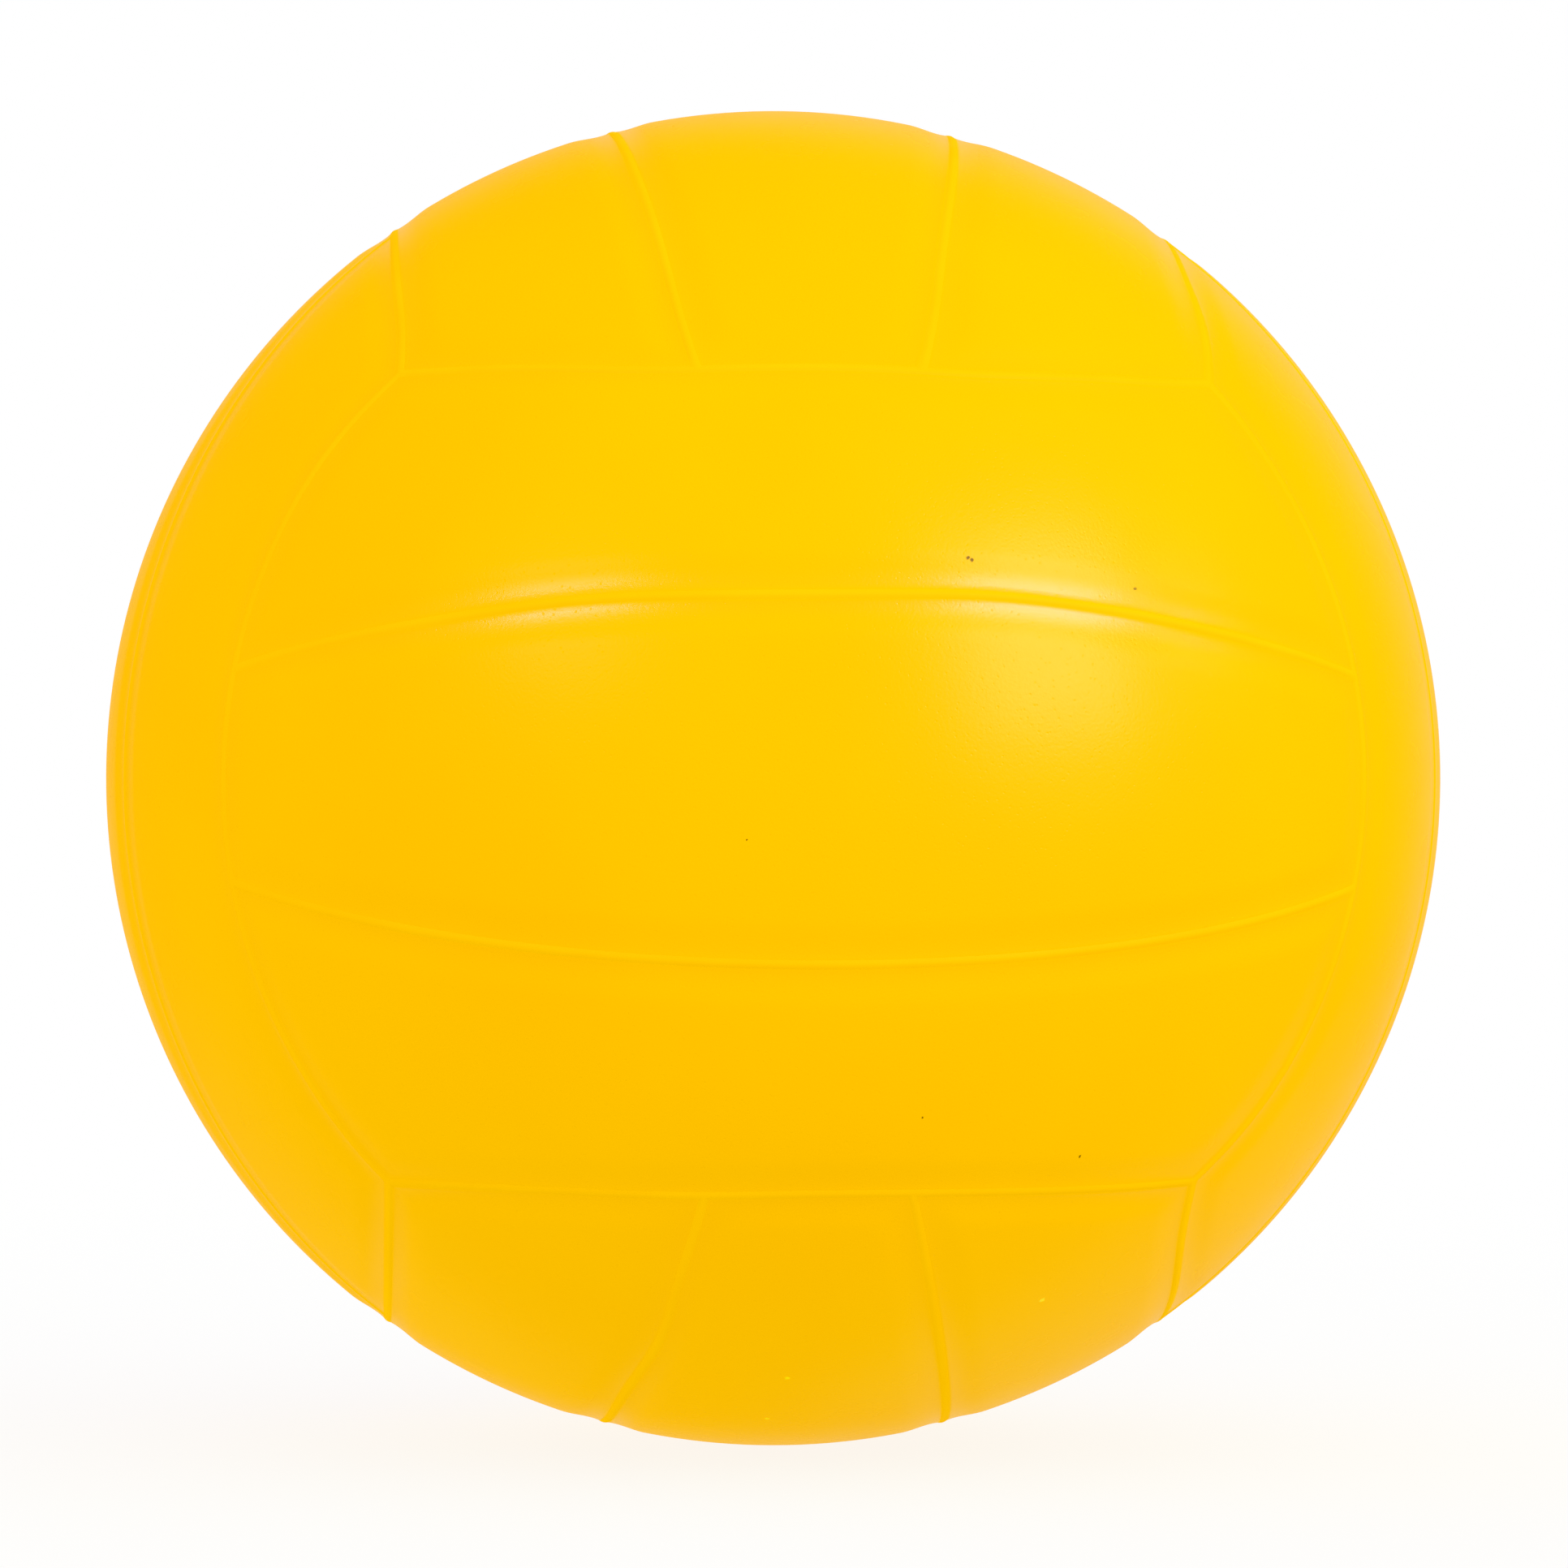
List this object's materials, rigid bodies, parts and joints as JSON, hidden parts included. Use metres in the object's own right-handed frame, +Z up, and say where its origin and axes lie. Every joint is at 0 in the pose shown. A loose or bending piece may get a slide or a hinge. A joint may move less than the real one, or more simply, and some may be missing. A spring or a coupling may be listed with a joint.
{
  "type": "volleyball",
  "caption": "Yellow panelled volleyball: cover strips in crossed faces on a ribbed rubber carcass, with thread winding, bladder and needle valve.",
  "frame": {"origin": "centre of the ball", "axes": "-Y to the pictured front face, +Y out through the valve, +Z up, +X to the right of the pictured view"},
  "size_m": [0.21, 0.2097, 0.21],
  "materials": {
    "cover": "satin yellow synthetic leather with a fine grain",
    "carcass": "satin yellow rubber, seen only as the rib in each seam",
    "winding": "off-white nylon thread set in latex",
    "bladder": "black butyl rubber",
    "valve_body": "matt yellow rubber",
    "valve_core": "matt black rubber"
  },
  "bodies": {
    "root": {"front_upper_panel": "cover", "front_middle_panel": "cover", "front_lower_panel": "cover", "back_upper_panel": "cover", "back_middle_panel": "cover", "back_lower_panel": "cover", "left_front_panel": "cover", "left_middle_panel": "cover", "left_rear_panel": "cover", "right_front_panel": "cover", "right_middle_panel": "cover", "right_rear_panel": "cover", "top_left_panel": "cover", "top_middle_panel": "cover", "top_right_panel": "cover", "bottom_left_panel": "cover", "bottom_middle_panel": "cover", "bottom_right_panel": "cover", "ribbed_carcass": "carcass", "thread_winding": "winding", "bladder": "bladder", "valve_body": "valve_body", "valve_core": "valve_core"}
  },
  "joints": []
}
